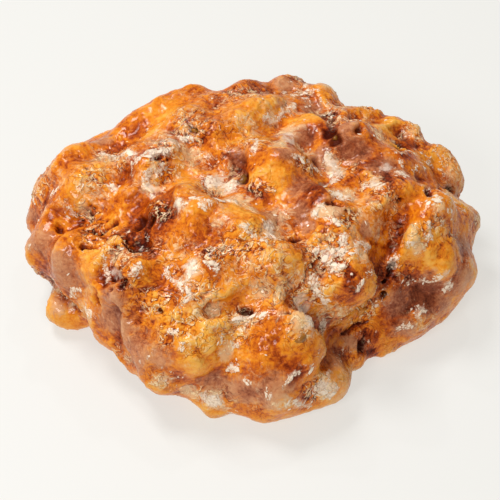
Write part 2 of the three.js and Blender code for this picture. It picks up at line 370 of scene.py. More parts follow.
# scales and moves the skin to fill the solid's own box
def fitToBox(points, low, high):
    small, large = points.min(axis=0), points.max(axis=0)
    scaled = low + (points - small) * (high - low) / (large - small)
    scaled[:, 2] = np.where(scaled[:, 2] < skin["flatBelow"], 0, scaled[:, 2])
    return scaled


# smooth noise from 0 to 1: random numbers on a lattice that repeats, mixed by eased cubes
noiseSize = 32
noiseSeed = 11
noiseTable = np.random.default_rng(noiseSeed).random((noiseSize,) * 3)


def smoothNoise(p, size, shift=0.0):
    q = p / size + shift
    home = np.floor(q).astype(int)
    part = q - home
    ease = part * part * (3 - 2 * part)
    value = 0
    for corner in np.stack(np.meshgrid([0, 1], [0, 1], [0, 1], indexing="ij"), -1).reshape(-1, 3):
        weight = np.prod(np.where(corner == 1, ease, 1 - ease), axis=1)
        i, j, k = ((home + corner) % noiseSize).T
        value = value + weight * noiseTable[i, j, k]
    return value


# sum of noises, each half the size and half the height of the last
def layeredNoise(p, size, layers, shift=0.0):
    total, height = 0, 0.5
    for layer in range(layers):
        total = total + height * smoothNoise(p, size / 2 ** layer, shift + 7.3 * layer)
        height /= 2
    return total / (1 - 0.5 ** layers)


# 0 up to low, 1 from high on, and 3 t squared - 2 t cubed of the part t between them
def smoothStep(low, high, value):
    part = np.clip((value - low) / (high - low), 0, 1)
    return part * part * (3 - 2 * part)


# marks on the crust, in pixels of the picture: across, down, radius
marks = {
    "goldAndLight": [                    # golden crust; some marks also lighten crust that lies in shade, painted light
        (75, 192, 26), (100, 172, 14), (80, 212, 10), (190, 150, 14), (155, 178, 12), (85, 262, 20),
        (165, 108, 20), (150, 128, 14), (240, 105, 26), (245, 130, 16), (185, 172, 18), (195, 205, 14),
        (265, 170, 15), (150, 278, 16), (200, 325, 24), (205, 360, 14), (226, 356, 12), (215, 310, 12),
        (175, 255, 14), (250, 285, 22), (275, 250, 14), (318, 235, 12), (345, 158, 10), (390, 125, 18),
        (410, 252, 11), (425, 237, 7), (332, 290, 12), (272, 100, 12), (235, 203, 14), (300, 118, 12),
        (372, 175, 10), (405, 205, 12), (230, 340, 16), (80, 300, 10), (445, 160, 10), (365, 310, 7),
        (300, 260, 12), (60, 175, 10), (440, 230, 10), (455, 212, 9), (462, 250, 9), (190, 375, 16),
        (236, 297, 8), (292, 286, 10), (334, 354, 9), (145, 284, 10), (157, 279, 9), (312, 314, 9),
        (301, 304, 8), (167, 380, 11), (66, 304, 9), (75, 315, 9), (218, 388, 13), (160, 361, 11),
        (288, 84, 9), (255, 93, 9), (382, 240, 14), (384, 255, 10), (405, 195, 12), (400, 212, 8),
        (68, 210, 13), (222, 312, 12), (232, 352, 12), (208, 376, 14), (230, 372, 12), (206, 392, 10),
        (330, 347, 10), (155, 292, 12), (287, 350, 10), (458, 197, 9), (430, 265, 12), (412, 264, 12),
        (405, 187, 9), (205, 313, 11), (330, 333, 9), (380, 232, 9),
    ],
    "brown": [                   # browner crust
        (215, 103, 9), (200, 240, 8), (45, 210, 13), (312, 185, 19), (140, 225, 20), (135, 248, 14),
        (158, 210, 10), (100, 232, 14), (75, 228, 11), (120, 287, 8), (125, 268, 10), (328, 128, 12),
        (405, 142, 10), (262, 345, 12), (300, 368, 14), (375, 268, 9), (350, 292, 10), (435, 298, 18),
        (405, 300, 16), (370, 345, 13), (395, 245, 8), (385, 285, 10), (450, 172, 11), (382, 232, 6),
        (330, 150, 14), (247, 308, 8), (330, 320, 8), (226, 397, 6), (310, 395, 8), (330, 380, 10),
        (345, 300, 9), (355, 272, 10), (468, 258, 11), (245, 396, 9), (355, 170, 13), (380, 172, 11),
        (320, 120, 10), (238, 168, 11), (240, 172, 12), (105, 275, 12), (105, 195, 9), (205, 255, 11),
        (356, 290, 11), (262, 391, 12), (330, 113, 9), (410, 140, 11), (292, 238, 8), (422, 215, 9),
        (131, 260, 9), (313, 127, 10), (207, 178, 7), (111, 203, 8), (371, 163, 8), (303, 91, 8),
        (343, 167, 7), (256, 177, 6), (230, 158, 9), (250, 182, 9), (263, 262, 9), (430, 248, 7),
        (398, 275, 8), (335, 120, 11), (408, 151, 11), (210, 264, 9), (155, 250, 11), (118, 272, 9),
        (255, 373, 9), (258, 160, 9), (330, 190, 10), (280, 150, 9), (205, 262, 10), (405, 152, 9),
        (430, 212, 9), (455, 192, 9),
    ],
    "film": [                    # thin tan glaze
        (55, 270, 22), (40, 240, 14), (30, 215, 10), (110, 318, 20), (130, 345, 18), (155, 358, 13),
        (108, 300, 14), (270, 396, 20), (245, 396, 16), (290, 387, 12), (432, 302, 21), (470, 245, 14),
        (468, 280, 16), (288, 82, 14), (100, 138, 12), (300, 185, 15), (342, 362, 14), (352, 340, 10),
        (345, 125, 12), (60, 300, 10), (355, 150, 14), (385, 165, 15), (312, 106, 12), (240, 160, 10),
        (302, 132, 16), (322, 152, 13), (290, 150, 11), (345, 138, 14), (335, 207, 10), (272, 214, 10),
        (400, 305, 16), (450, 305, 14), (30, 240, 12), (215, 386, 15), (235, 393, 12), (370, 228, 7),
        (300, 210, 13), (310, 224, 10), (120, 330, 18), (405, 330, 11),
    ],
    "craggy": [                  # rough and flaky crust
        (158, 205, 12), (115, 240, 12), (95, 230, 14), (330, 250, 22), (318, 290, 14), (250, 245, 22),
        (215, 250, 14), (345, 160, 14), (365, 310, 14), (245, 325, 16), (168, 332, 12), (190, 128, 14),
        (115, 155, 18), (160, 160, 14), (320, 388, 12), (225, 395, 9), (310, 160, 14), (300, 335, 12),
        (130, 275, 12), (155, 300, 16), (255, 180, 10), (385, 195, 12), (85, 215, 12), (405, 282, 9),
        (275, 285, 14), (345, 215, 12), (200, 305, 20), (228, 325, 14), (180, 320, 13), (300, 330, 10),
        (205, 345, 14), (190, 350, 10), (422, 238, 12), (436, 225, 10), (412, 272, 10), (455, 235, 10),
        (205, 395, 8), (95, 175, 14), (210, 190, 12), (170, 140, 12), (370, 175, 12), (300, 300, 12),
    ],
    "paintedShade": [                    # deepest shade, painted: the lower right wall and the deep hollows round the pits
        (425, 299, 15), (470, 262, 11), (395, 300, 16), (458, 283, 12), (388, 285, 8), (370, 345, 14),
        (140, 228, 18), (134, 250, 12), (248, 308, 8), (410, 140, 11), (292, 237, 8), (313, 127, 9),
        (330, 128, 10), (405, 142, 9), (440, 310, 14), (345, 350, 9), (312, 188, 12), (400, 240, 7),
        (405, 325, 13), (330, 132, 12), (345, 140, 14), (312, 120, 12), (372, 152, 12), (395, 180, 12),
        (300, 105, 13), (355, 165, 12), (330, 114, 11), (405, 149, 11), (245, 165, 13), (232, 150, 9),
        (256, 190, 8), (282, 152, 10), (330, 124, 12), (237, 184, 9), (105, 280, 11), (356, 291, 10),
        (121, 287, 8), (300, 372, 10),
    ],
    "poolAndSheen": [                    # milky glaze in hollows; a few are painted sheen
        (272, 226, 6), (274, 234, 5), (300, 301, 5), (305, 309, 8), (313, 318, 9), (190, 263, 7),
        (176, 204, 5), (150, 185, 5), (151, 195, 5), (221, 180, 8), (227, 186, 6), (170, 137, 8),
        (131, 152, 5), (151, 150, 5), (253, 146, 5), (285, 131, 8), (292, 138, 7), (330, 162, 5),
        (332, 172, 5), (328, 180, 5), (388, 165, 6), (375, 182, 5), (207, 397, 6), (217, 402, 6),
        (302, 404, 6), (324, 388, 7), (335, 395, 6), (112, 272, 4),
    ],
    "mist": [                    # faint milky haze
        (90, 182, 20), (75, 203, 14), (112, 165, 16), (180, 110, 14), (250, 118, 16), (200, 165, 14),
        (130, 182, 14), (185, 185, 14), (215, 215, 14), (235, 265, 18), (175, 245, 16), (205, 300, 18),
        (255, 130, 14), (365, 200, 16), (395, 205, 12), (280, 265, 14), (420, 240, 10), (60, 180, 12),
        (210, 95, 12),
    ],
    "clear": [                   # smoother crust, with no scattered haze
        (370, 262, 20), (385, 250, 12), (345, 232, 9), (420, 280, 26), (445, 245, 18), (300, 350, 28),
        (390, 325, 18), (455, 220, 12), (410, 258, 20), (430, 170, 20), (415, 200, 14), (205, 355, 20),
        (455, 200, 14), (428, 262, 16), (112, 277, 13), (142, 276, 11), (410, 141, 13), (422, 215, 9),
        (313, 127, 9), (256, 176, 9), (343, 166, 8), (158, 118, 12), (352, 295, 14), (270, 350, 22),
        (200, 222, 16), (85, 270, 14), (235, 105, 16), (300, 255, 10), (395, 125, 12), (435, 165, 13),
        (120, 200, 10), (330, 340, 14), (290, 362, 14),
    ],
    "hazeAndSheen": [                    # milky haze; a few are painted sheen, and a few lighten crust in shade, painted light
        (220, 183, 17), (272, 228, 14), (150, 187, 11), (332, 165, 10), (375, 183, 8), (302, 312, 15),
        (190, 265, 12), (440, 201, 7), (240, 196, 12), (285, 141, 14), (288, 128, 12), (318, 112, 8),
        (383, 133, 10), (105, 155, 11), (180, 140, 8), (157, 168, 8), (305, 150, 8), (82, 208, 9),
        (381, 229, 10), (212, 310, 9), (318, 210, 8), (292, 286, 8), (166, 382, 8), (254, 89, 8),
        (226, 353, 8), (300, 145, 9), (367, 254, 8), (68, 306, 6), (215, 222, 8), (215, 408, 8),
        (285, 406, 7), (275, 118, 10), (345, 190, 12), (330, 390, 11), (215, 395, 8), (245, 318, 12),
        (60, 200, 8), (180, 205, 10), (420, 245, 8), (255, 290, 12), (310, 318, 13), (282, 290, 9),
        (190, 152, 10), (190, 392, 11), (280, 212, 11), (255, 208, 8),
    ],
    "hole": [                    # pits
        (140, 222, 8), (136, 247, 7), (121, 286, 4.5), (241, 175, 7), (292, 236, 6.5), (327, 129, 8),
        (334, 137, 7), (399, 143, 7), (407, 144, 8), (364, 126, 5), (247, 308, 4.5), (365, 346, 5),
        (384, 298, 5), (402, 202, 2.5), (290, 307, 4), (86, 162, 3), (190, 127, 4), (157, 312, 3),
        (150, 217, 5),
    ],
}

# dark creases, painted shade over their real grooves, and set white glaze, in pixels: half width, then the
# points that the line joins
lines = {
    "crease": [
        (2, (402, 240), (395, 262), (386, 285)), (3.5, (60, 226), (100, 232), (112, 222)),
        (2.5, (120, 262), (112, 275), (108, 290)), (2, (330, 200), (345, 202)),
        (3, (430, 192), (455, 188)), (3, (85, 245), (100, 243)), (2.5, (92, 290), (95, 305)),
        (2, (345, 333), (372, 322)), (3, (318, 160), (325, 180), (336, 196)),
    ],
    # some of the white lines are painted sheen on the glaze
    "white": [
        (4, (104, 152), (125, 150), (135, 158), (160, 150), (172, 148)), (4, (130, 164), (115, 185)),
        (7, (212, 178), (232, 180)), (3.5, (176, 200), (200, 196), (206, 203), (235, 198)),
        (4.5, (147, 178), (153, 195)), (4, (326, 152), (333, 165), (335, 178), (328, 182)),
        (4.5, (337, 190), (343, 197)), (3, (300, 154), (312, 162), (320, 168)),
        (3, (265, 115), (275, 120), (290, 110), (297, 103)), (3.5, (258, 138), (252, 150)),
        (3.5, (315, 208), (313, 215)), (3.5, (335, 216), (345, 222)),
        (5, (346, 232), (343, 248), (326, 250), (328, 262)), (3.5, (355, 252), (372, 246)),
        (4.5, (328, 268), (341, 265)), (4, (318, 280), (318, 296), (325, 302)),
        (6, (272, 226), (275, 236)), (5, (192, 262), (188, 270)), (3, (213, 262), (218, 268)),
        (2.5, (208, 252), (215, 245)), (2.5, (165, 274), (178, 280), (188, 276)),
        (3, (178, 280), (186, 290), (187, 300)), (3.5, (130, 272), (142, 268)),
        (3.5, (235, 322), (250, 316), (265, 312)), (4, (300, 306), (310, 316), (325, 328)),
        (4, (234, 367), (237, 370)), (2.5, (244, 380), (248, 385)), (2.5, (297, 374), (288, 386)),
        (2.5, (314, 366), (308, 378)), (2.5, (366, 280), (362, 290)), (2.5, (268, 394), (269, 400)),
        (4.5, (207, 398), (216, 404)), (5.5, (318, 388), (334, 393)), (4.5, (296, 404), (310, 406)),
        (3.5, (428, 200), (440, 197)), (3, (432, 222), (436, 236)),
        (2, (412, 283), (430, 284), (440, 282), (452, 270)), (4, (449, 284), (451, 289)),
        (3, (426, 308), (421, 316)), (3.5, (365, 183), (380, 186)), (3.5, (402, 158), (404, 172)),
        (3, (50, 193), (55, 187)), (2.5, (31, 200), (36, 220)), (2.5, (72, 210), (73, 216)),
        (4, (84, 311), (91, 315)), (3.5, (178, 135), (190, 136)), (3.5, (393, 262), (397, 256)),
        (3, (408, 246), (415, 244)), (2.5, (166, 331), (176, 330)), (2.5, (178, 343), (182, 352)),
        (2.5, (68, 298), (78, 290)), (3, (108, 268), (105, 282)), (2.5, (345, 352), (330, 372)),
        (3, (222, 340), (236, 346)), (3, (160, 170), (166, 164)), (2.5, (400, 330), (412, 326)),
        (2.5, (240, 226), (262, 240)),
    ],
}


# the seen vertex nearest to a pixel: of those close to it, the one nearest the camera
def vertexAt(seen, across, down):
    u, v, depth = seen
    off = (u - across) ** 2 + (v - down) ** 2
    close = np.flatnonzero(off < max(view["close"] ** 2, off.min() + 1e-6))
    return close[np.argmin(depth[close])]


# 1 at a mark's middle, fading to 0 past its edge; the strongest of all the marks
def blobMask(seen, wavy, rows, soft, pixel):
    mask = np.zeros(len(wavy))
    for across, down, radius in rows:
        gap = np.linalg.norm(wavy - wavy[vertexAt(seen, across, down)], axis=1) / (radius * pixel)
        mask = np.maximum(mask, 1 - smoothStep(1 - soft, 1 + soft, gap))
    return mask


# 1 along a line that joins surface points, fading to 0 past its half width
def lineMask(seen, wavy, rows, soft, pixel):
    mask = np.zeros(len(wavy))
    for width, *stops in rows:
        places = [wavy[vertexAt(seen, *stop)] for stop in stops]
        for a, b in zip(places[:-1], places[1:]):
            span = b - a
            way = np.clip((wavy - a) @ span / max(span @ span, 1e-9), 0, 1)
            gap = np.linalg.norm(wavy - a - way[:, None] * span, axis=1) / (width * pixel)
            mask = np.maximum(mask, 1 - smoothStep(1 - soft, 1 + soft, gap))
    return mask


# a piece from places in millimetres, with a number at each vertex for every attribute
def makeMesh(name, points, faces, attributes, smooth=True):
    mesh = bpy.data.meshes.new(name)
    mesh.from_pydata((points * mm).tolist(), [], faces)
    mesh.polygons.foreach_set("use_smooth", np.full(len(mesh.polygons), smooth))
    for key, values in attributes.items():
        layer = mesh.attributes.new(key, "FLOAT", "POINT")
        layer.data.foreach_set("value", values.astype(np.float32))
    mesh.update()
    piece = bpy.data.objects.new(name, mesh)
    bpy.context.scene.collection.objects.link(piece)
    return piece


# the crust's finer relief, in millimetres, and how its marks are drawn
crust = {
    "flakes": [(6.0, 1.1, 3.0), (2.8, 0.6, 11.0)],        # spacing, height, shift
    "wrinkles": (3.0, 1.0),      # size and height of the ridges between them
    "calmRelief": 0.35,          # share of both that is left where the crust isn't craggy
    "holeDepth": 2.0,
    "creaseDepth": 1.8,
    "frostHeight": 0.35,
    "edgeWave": 3.6,             # how far noise pushes the marks' edges about
    "swirl": 6.0,                # how far it pulls the flakes into streaks
    "pixel": 0.31,               # millimetres to a pixel on the crust
    "softEdge": 0.8,             # how far most marks fade, as a share of their radius
    "noises": {                  # size, layers, shift
        "slow": (16.0, 3, 2.0), "streak": (7.0, 4, 4.0), "ridge": (11.0, 3, 6.0), "milky": (13.0, 3, 12.0),
        "scatter": (18.0, 2, 1.0), "film": (22.0, 2, 3.0), "craggy": (14.0, 3, 7.0),
    },
    # rings and full depth of the fine and broad hollows, which set painted shade in the crust's hollows
    "fineHollowShade": (5, 0.35),     # rings of neighbours, and the depth that counts as full
    "broadHollowShade": (20, 1.2),
    "middleTone": 0.565,
    # how far each mark or hollow moves the tone; the dark marks' share is painted shade
    "toning": {"goldAndLight": 0.2, "brown": -0.2, "paintedShade": -0.17, "fineHollowShade": -0.15, "broadHollowShade": -0.12},
}


# how hollow the skin is: how far the middle of a vertex's surroundings stands out over it, from -1 to 1
def hollowness(points, quads, rings, full):
    middle = points
    for ring in range(rings):
        middle = neighbourMeans(middle, quads)
    return np.clip(((middle - points) * vertexNormals(points, quads)).sum(axis=1) / full, -1, 1)


# one of the crust's own noises at these places
def crustNoise(name, places):
    return layeredNoise(places, *crust["noises"][name])


# the fritter: skin + normal x (flakes and wrinkles + frost - holes - creases), with its marks as attributes
def makeFritter():
    points, quads = makeSkin()
    low, high = (np.array(corner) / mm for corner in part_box("fritter"))
    points = fitToBox(points, low, high)
    print("skin laid:", len(points), "points")

    seen = toPixels(points * mm)
    normals = vertexNormals(points, quads)
    hidden = 1 - smoothStep(-0.1, 0.3, normals @ towardsCamera)
    wave = np.stack([layeredNoise(points, 6.0, 4, shift) - 0.5 for shift in (0.1, 3.7, 8.2)], axis=1)
    wavy = points + 2 * crust["edgeWave"] * wave
    streaked = points + 2 * crust["swirl"] * wave
    soft, pixel = crust["softEdge"], crust["pixel"]
    goldAndLight, brown, paintedShade, film, hazeAndSheen, mist, clear, craggy = (
        blobMask(seen, wavy, marks[kind], soft, pixel)
        for kind in ("goldAndLight", "brown", "paintedShade", "film", "hazeAndSheen", "mist", "clear", "craggy"))
    poolAndSheen = blobMask(seen, wavy, marks["poolAndSheen"], soft, 1.2 * pixel)
    hole = blobMask(seen, wavy, marks["hole"], 0.6, pixel)
    crease = lineMask(seen, wavy, lines["crease"], 0.6, pixel)
    white = lineMask(seen, wavy, lines["white"], 0.9, pixel)
    halo = lineMask(seen, wavy, lines["white"], 0.95, 2.4 * pixel)
    print("marks drawn")

    # on sides that the picture doesn't show, film, crags and white lines are scattered in the same way
    slow = crustNoise("slow", wavy)
    streak = crustNoise("streak", streaked)
    ridge = 1 - 2 * np.abs(crustNoise("ridge", streaked) - 0.5)
    scatter = smoothStep(0.45, 0.7, crustNoise("scatter", points))
    white = np.maximum(white, smoothStep(0.86, 0.97, ridge) * scatter * (0.45 + 0.45 * hidden))
    film = np.maximum(film, hidden * smoothStep(0.5, 0.65, crustNoise("film", points)))
    crags = smoothStep(0.45, 0.7, crustNoise("craggy", points))
    craggy = np.maximum(craggy, crags * (0.3 + 0.7 * hidden)) * (1 - 0.85 * film) * (1 - 0.6 * clear)

    # haze: at its marks, some of them painted sheen, faintly round white lines, and where a slow noise is
    # milky
    milky = smoothStep(0.47, 0.66, crustNoise("milky", streaked)) * (1 - film)
    hazeAndSheen = np.maximum.reduce([hazeAndSheen, 0.15 * halo, 0.5 * mist, 0.5 * milky * (1 - clear)])
    hazeAndSheen *= 0.65 + 0.6 * smoothStep(0.35, 0.65, streak)

    plates = [flaking(streaked, spacing, shift) for spacing, _, shift in crust["flakes"]]
    height = sum(row[1] * (plate - 0.5) for row, plate in zip(crust["flakes"], plates))
    ridgeSize, ridgeHeight = crust["wrinkles"]
    wrinkles = 1 - 2 * np.abs(layeredNoise(points, ridgeSize, 2, 5.0) - 0.5)
    calm = crust["calmRelief"]
    height += ridgeHeight * (wrinkles - 0.75)
    height *= (calm + (1 - calm) * craggy) * (1 - 0.6 * np.maximum(film, white))
    height += crust["frostHeight"] * white - crust["holeDepth"] * hole - crust["creaseDepth"] * crease
    flat = smoothStep(0.0, 2.0, points[:, 2])
    points = fitToBox(points + normals * (height * flat)[:, None], low, high)

    # tone: middle + each mark or hollow x its share + a swing from streak to streak and flake to flake; the
    # hollows' shares are painted shade, darker in hollows
    hollow = hollowness(points, quads, *crust["fineHollowShade"])
    # the creases darken the tone along with the brown marks: painted shade over their real grooves
    shades = {"goldAndLight": goldAndLight, "brown": np.maximum(brown, crease), "paintedShade": paintedShade, "fineHollowShade": hollow,
              "broadHollowShade": hollowness(points, quads, *crust["broadHollowShade"])}
    swing = 0.4 * (slow - 0.5) + 0.6 * (streak - 0.5) + (0.08 + 0.08 * craggy) * (sum(plates) - 1)
    tone = crust["middleTone"] + sum(crust["toning"][name] * shade for name, shade in shades.items())
    tone += swing * (1 - 0.45 * film)
    hazeAndSheen += 0.35 * np.clip(-hollow, 0, 1) * craggy
    print("tone", np.percentile(tone, (2, 25, 50, 75, 98)).round(2), "white share", round(white.mean(), 3))
    # pit: painted shade in the pits, and fainter along the creases
    attributes = {"tone": tone, "film": film, "hazeAndSheen": hazeAndSheen, "white": white, "craggy": craggy, "poolAndSheen": poolAndSheen,
                  "pitShade": np.maximum(hole, 0.7 * crease)}
    fritter = makeMesh("glazed_fritter", points, quads.tolist(), attributes)
    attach(fritter, "root")
    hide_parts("fritter")
    return {"piece": fritter, "points": points, "quads": quads, "seen": seen, "white": white}


# the shape of small bits: steps round, rings, spread of the outline and how full the edge is
bits = {
    "steps": 10,
    "rings": 4,
    "outline": (0.55, 1.15),
    "fullness": 0.5,
}


# closed bits: rings of a flattened ball, whose radius is drawn anew for each step round it
def bitShapes(rng, centres, along, out, sizes):
    steps, rings = bits["steps"], bits["rings"]
    across = np.cross(out, along)
    turn = np.arange(steps) * 2 * math.pi / steps
    fall = np.linspace(0, math.pi, rings + 2)[1:-1, None]
    outline = rng.uniform(*bits["outline"], (len(centres), 1, steps))
    wide = np.sin(fall) ** bits["fullness"] * outline
    high = np.cos(fall) * np.ones(steps) * sizes[:, 2, None, None]
    a = wide * np.cos(turn) * sizes[:, 0, None, None]
    b = wide * np.sin(turn) * sizes[:, 1, None, None]
    frames = [part[:, None, None, :] for part in (centres, along, across, out)]
    body = frames[0] + a[..., None] * frames[1] + b[..., None] * frames[2] + high[..., None] * frames[3]
    ends = sizes[:, 2, None] * out
    tips = np.stack([centres + ends, centres - ends], axis=1)
    points = np.concatenate([body.reshape(len(centres), -1, 3), tips], axis=1)
    ring = np.arange(rings * steps).reshape(rings, steps)
    after = np.roll(ring, -1, axis=1)
    sides = np.stack([ring[:-1], ring[1:], after[1:], after[:-1]], axis=-1).reshape(-1, 4)
    top = np.stack([np.full(steps, rings * steps), ring[0], after[0]], axis=-1)
    bottom = np.stack([np.full(steps, rings * steps + 1), after[-1], ring[-1]], axis=-1)
    first = np.arange(len(centres)) * (rings * steps + 2)
    faces = []
    for part in (sides, top, bottom):
        faces += (first[:, None, None] + part).reshape(-1, part.shape[1]).tolist()
    return points.reshape(-1, 3), faces


# directions on the crust for turns in the picture: sideways and upwards in view, laid along the surface
def layAlong(out, turns):
    angle = np.radians(turns)[:, None]
    along = np.cos(angle) * np.array([1, 0, 0]) + np.sin(angle) * upInView
    along = along - (along * out).sum(axis=1, keepdims=True) * out
    return along / np.maximum(np.linalg.norm(along, axis=1, keepdims=True), 1e-6)


# normals of the crust with its small relief smoothed away
def smoothNormals(made):
    calm = made["points"]
    for step in range(4):
        calm = neighbourMeans(calm, made["quads"])
    return vertexNormals(calm, made["quads"])


# flakes of set glaze: across, down, half length and half width in pixels, and turn in degrees
flakes = {
    "rows": [
        (342, 193, 6, 4, -55), (235, 368, 4.5, 4, 0), (292, 381, 6, 2.5, 60), (312, 371, 6, 2.2, 65),
        (365, 284, 5, 2.2, 75), (247, 384, 3, 1.6, -45), (268, 397, 4, 1.8, 80), (326, 256, 5, 3.5, 30),
        (333, 263, 4.5, 3, -20), (318, 250, 4, 2.5, 60), (340, 267, 4, 2.5, 10), (353, 252, 4, 2.5, 20),
        (128, 152, 6, 3.5, -30), (148, 154, 6, 2.5, 5), (162, 150, 4.5, 2.5, 20), (114, 184, 4, 3, 40),
        (130, 163, 4, 2.5, -30), (222, 198, 7, 2.5, -5), (191, 195, 5, 3, 10), (331, 173, 4.5, 3, 80),
        (326, 183, 4, 2.5, -30), (304, 160, 5, 2.2, -40), (314, 167, 4, 2, -40), (270, 117, 4.5, 2.5, 10),
        (284, 112, 5, 2, 30), (193, 263, 4.5, 3.5, 20), (180, 282, 5, 2.5, -40), (186, 292, 5, 2.5, -70),
        (240, 319, 6, 3, 15), (253, 315, 5, 2.5, 15), (263, 312, 4, 2.5, 20), (318, 292, 4.5, 3, -70),
        (322, 300, 4, 2.5, -40), (325, 390, 5, 3.5, -15), (336, 392, 4, 2.5, 10), (213, 397, 4.5, 3, -60),
        (440, 199, 6, 3, 5), (431, 201, 4, 2.5, 20), (455, 211, 3.5, 2.5, -60), (423, 313, 4.5, 2, 65),
        (450, 287, 4, 2.5, 60), (341, 222, 3.5, 2.5, 0), (346, 235, 4, 2.5, 80), (50, 191, 6, 2, 50),
        (378, 183, 6, 2.2, -5), (314, 213, 4, 2.5, -60), (137, 270, 4.5, 2.2, 30),
    ],
    "trim": 0.85,                # share of those sizes that a flake has
    "scattered": 160,
    "halfLength": (0.3, 0.9),    # millimetres, of the scattered ones
    "halfWidth": (0.2, 0.5),
    "bareChance": 0.03,          # chance of one where the crust has no white glaze
    "lowest": 4.0,               # millimetres up, under which none are scattered
    "halfThick": 0.11,
    "thickSpread": (0.8, 1.3),
    "lift": 0.1,                 # millimetres that they stand off the crust
    "seed": 5,
}


# marked flakes, and scattered ones by chance: bare chance + how white the crust is
def makeFlakes(made, normals):
    rng = np.random.default_rng(flakes["seed"])
    rows = np.array(flakes["rows"], float)
    count = flakes["scattered"]
    at = [vertexAt(made["seen"], *row[:2]) for row in rows]
    chance = (flakes["bareChance"] + made["white"]) * (made["points"][:, 2] > flakes["lowest"])
    at = np.concatenate([at, rng.choice(len(chance), count, p=chance / chance.sum())])
    thick = flakes["halfThick"] * rng.uniform(*flakes["thickSpread"], len(at))
    marked = flakes["trim"] * crust["pixel"] * rows[:, 2:4]
    long = np.concatenate([marked[:, 0], rng.uniform(*flakes["halfLength"], count)])
    wide = np.concatenate([marked[:, 1], rng.uniform(*flakes["halfWidth"], count)])
    turns = np.concatenate([rows[:, 4], rng.uniform(0, 180, count)])
    out = normals[at]
    points, faces = bitShapes(rng, made["points"][at] + flakes["lift"] * out, layAlong(out, turns), out,
                              np.stack([long, wide, thick], axis=1))
    piece = makeMesh("glaze_flakes", points, faces, {}, smooth=False)
    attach(piece, "root")
    return piece


# bits of cooked fruit in the pits: across, down, half length, half width in pixels, turn and tint
fruit = {
    "rows": [
        (240, 174, 8, 6, 60, 0.3), (302, 339, 7, 5, 50, 0.5), (364, 313, 7, 4.5, 30, 0.9),
        (384, 300, 6, 4, 70, 0.1), (190, 128, 5, 3.5, -40, 0.4), (333, 133, 4, 3, 40, 0.3),
    ],
    "halfThick": 1.3,
    "sunk": 0.7,                 # millimetres that their middles lie under the crust
    "seed": 8,
}


# marked bits, each with its own tint as an attribute
def makeFruit(made, normals):
    rng = np.random.default_rng(fruit["seed"])
    rows = np.array(fruit["rows"], float)
    at = np.array([vertexAt(made["seen"], *row[:2]) for row in rows])
    out = normals[at]
    sizes = np.column_stack([rows[:, 2:4] * crust["pixel"], np.full(len(at), fruit["halfThick"])])
    centres = made["points"][at] - fruit["sunk"] * out
    points, faces = bitShapes(rng, centres, layAlong(out, rows[:, 4]), out, sizes)
    piece = makeMesh("fruit_bits", points, faces, {"tint": np.repeat(rows[:, 5], len(points) // len(at))})
    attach(piece, "root")
    return piece


# sRGB hex to the shader's linear colour
def colour(code):
    parts = [int(code[i:i + 2], 16) / 255 for i in (1, 3, 5)]
    return [((c + 0.055) / 1.055) ** 2.4 if c > 0.04045 else c / 12.92 for c in parts] + [1]


# a short way to add nodes, wire them and set their plain values
class Nodes:
    def __init__(self, tree):
        self.tree = tree

    def add(self, kind, inputs=None, **settings):
        node = self.tree.nodes.new("ShaderNode" + kind)
        for key, value in settings.items():
            setattr(node, key, value)
        for key, value in (inputs or {}).items():
            if isinstance(value, bpy.types.NodeSocket):
                self.tree.links.new(value, node.inputs[key])
            else:
                node.inputs[key].default_value = value
        return node

    def math(self, operation, a, b=0.0):
        return self.add("Math", {0: a, 1: b}, operation=operation).outputs[0]

    def times(self, a, b):
        return self.math("MULTIPLY", a, b)

    # a + b x factor
    def plus(self, a, b, factor):
        return self.add("Math", {0: b, 1: factor, 2: a}, operation="MULTIPLY_ADD").outputs[0]

    def mix(self, factor, a, b):
        return self.add("Mix", {0: factor, 6: a, 7: b}, data_type="RGBA").outputs[2]

    def ramp(self, factor, stops):
        node = self.add("ValToRGB", {0: factor})
        elements = node.color_ramp.elements
        while len(elements) < len(stops):
            elements.new(0.5)
        for element, (place, code) in zip(elements, stops):
            element.position = place
            element.color = colour(code)
        return node.outputs[0]

    # 0 up to low and 1 from high on, eased
    def between(self, value, low, high):
        node = self.add("MapRange", {0: value, 1: low, 2: high}, interpolation_type="SMOOTHSTEP")
        return node.outputs[0]

    # 1 where a value is within low of its middle, fading to 0 where it is high off
    def near(self, value, middle, low, high):
        off = self.math("ABSOLUTE", self.math("SUBTRACT", value, middle))
        return self.math("SUBTRACT", 1.0, self.between(off, low, high))

    def noise(self, place, scale, detail, roughness, distortion):
        return self.add("TexNoise", {"Vector": place, "Scale": scale, "Detail": detail,
                                     "Roughness": roughness, "Distortion": distortion})

    def bump(self, height, strength, distance):
        return self.add("Bump", {"Height": height, "Strength": strength, "Distance": distance}).outputs[0]

    def attribute(self, name):
        return self.add("Attribute", attribute_name=name).outputs["Fac"]

    # the finished surface, wired to the output
    def surface(self, inputs):
        shader = self.add("BsdfPrincipled", inputs)
        self.add("OutputMaterial", {"Surface": shader.outputs[0]})


# an empty material, and what adds its nodes
def newMaterial(name):
    material = bpy.data.materials.new(name)
    material.use_nodes = True
    material.node_tree.nodes.clear()
    return material, Nodes(material.node_tree)


# noises of the sugar: scale, detail, roughness, distortion
sugarLook = {
    "grain": (1100.0, 3.0, 0.7, 0.0),
    "fleck": (620.0, 4.0, 0.7, 1.2),
}


